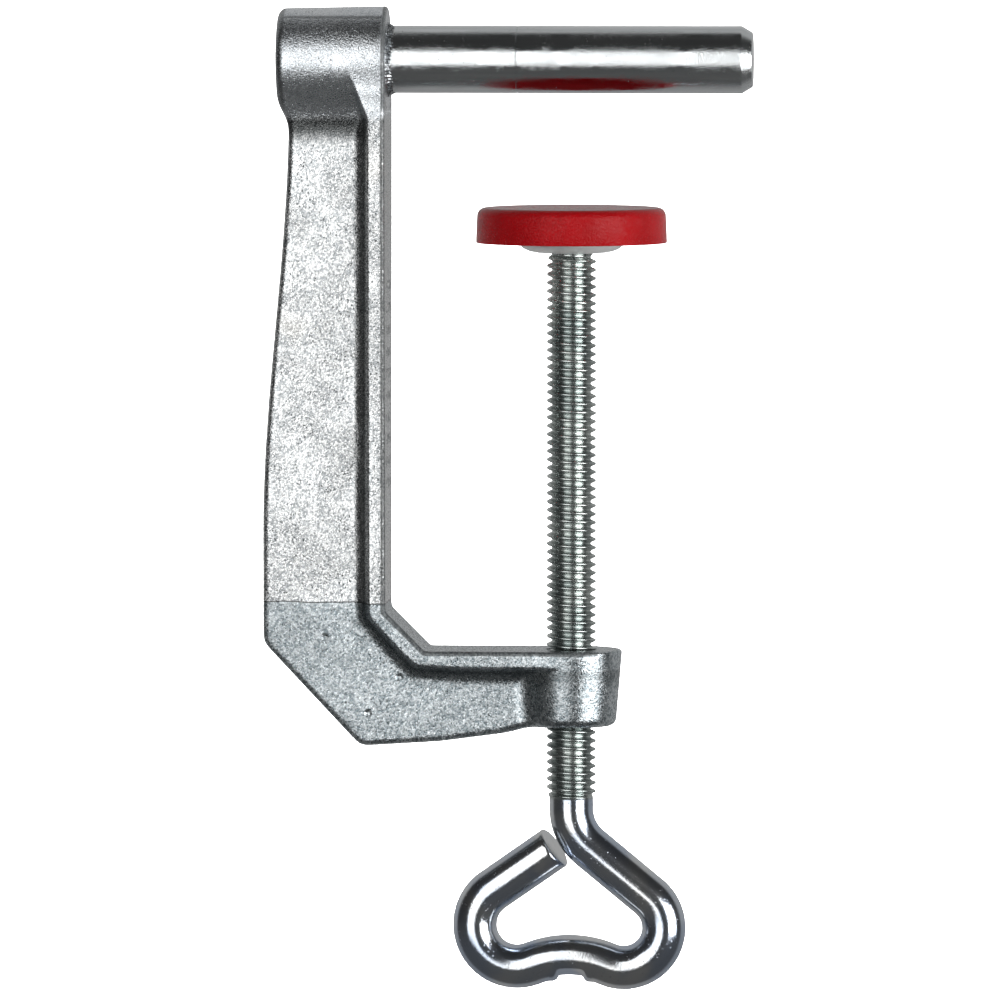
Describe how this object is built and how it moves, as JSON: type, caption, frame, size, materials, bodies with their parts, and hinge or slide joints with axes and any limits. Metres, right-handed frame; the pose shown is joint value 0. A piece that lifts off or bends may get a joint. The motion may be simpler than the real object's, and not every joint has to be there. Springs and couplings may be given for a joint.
{
  "type": "table clamp",
  "caption": "Small C-shaped screw clamp with a round support pin, a capped swivel pad and a heart-shaped wire handle.",
  "frame": {"origin": "point where the spindle's axis meets the support pin's axis", "axes": "+X along the support pin, away from the frame; +Z along the spindle, from the handle to the pad"},
  "size_m": [0.0581, 0.0226, 0.1169],
  "materials": {
    "cast_zinc": "satin",
    "pin_steel": "gloss",
    "spindle_steel": "gloss",
    "plate_steel": "satin",
    "cap_plastic": "satin"
  },
  "bodies": {
    "frame": {"frame": "cast_zinc", "support_pin": "pin_steel"},
    "swivel": {"swivel_ball": "spindle_steel"},
    "spindle": {"spindle": "spindle_steel"},
    "pad": {"pressure_plate": "plate_steel", "protective_cap": "cap_plastic"}
  },
  "joints": [
    {"name": "spindle_advance", "type": "slide", "parent": "frame", "child": "swivel", "axis": [0, 0, 1], "range_m": [-0.0464, 0.0086]},
    {"name": "spindle_turn", "type": "hinge", "parent": "swivel", "child": "spindle", "pos_m": [0, 0, -0.02135], "axis": [0, 0, -1], "range_deg": [-16704, 3096]},
    {"name": "pad_tilt", "type": "hinge", "parent": "swivel", "child": "pad", "pos_m": [0, 0, -0.02135], "axis": [0, 1, 0], "range_deg": [-6, 6]}
  ],
  "couplings": [
    {"joint": "spindle_turn", "follows": "spindle_advance", "rad_per_m": 6283.2}
  ]
}
